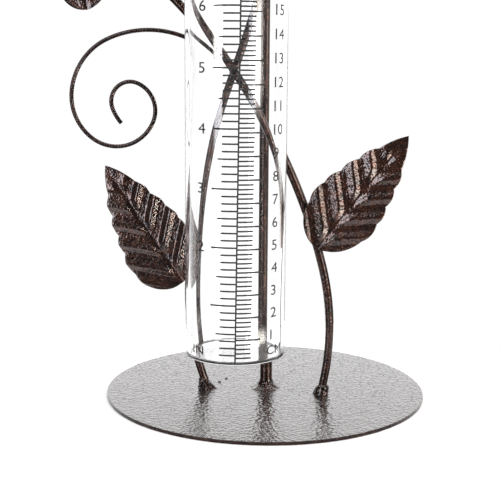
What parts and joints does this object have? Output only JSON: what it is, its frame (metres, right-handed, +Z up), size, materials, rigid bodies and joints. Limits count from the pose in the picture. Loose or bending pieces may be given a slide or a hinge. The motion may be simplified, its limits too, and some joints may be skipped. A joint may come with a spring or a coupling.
{
  "type": "rain gauge",
  "caption": "Table-top rain gauge: a graduated clear tube hangs in a ring on a painted steel stand with bent stems, leaves and a scroll on a round plate.",
  "frame": {"origin": "middle of the round plate's underside", "axes": "+Z up along the rod, +X to the right along the line of the stems' feet, and the tube hangs on the -Y side, which is the front"},
  "size_m": [0.1736, 0.154, 0.2325],
  "materials": {
    "hammered_paint": "hammered, half gloss",
    "leaf_paint": "hammered, half gloss",
    "clear_glass": "clear, polished"
  },
  "bodies": {
    "stand": {"base_plate": "hammered_paint", "center_rod": "hammered_paint", "left_stem": "hammered_paint", "right_stem": "hammered_paint", "left_scroll": "hammered_paint", "leaf_lower_left": "leaf_paint", "leaf_lower_right": "leaf_paint", "leaf_upper_left": "leaf_paint", "tube_ring": "hammered_paint", "ring_arm": "hammered_paint", "foot_weld_center": "hammered_paint", "foot_weld_left": "hammered_paint", "foot_weld_right": "hammered_paint", "crossing_weld": "hammered_paint", "rod_weld": "hammered_paint", "scroll_weld": "hammered_paint", "leaf_lower_left_weld": "hammered_paint", "leaf_lower_right_weld": "hammered_paint", "leaf_upper_left_weld": "hammered_paint", "ring_weld_rear": "hammered_paint", "ring_weld_front": "hammered_paint"},
    "tube": {"gauge_tube": "clear_glass"}
  },
  "joints": [
    {"name": "tube_lift", "type": "slide", "parent": "stand", "child": "tube", "axis": [0, 0, 1], "range_m": [0, 0.2]}
  ]
}
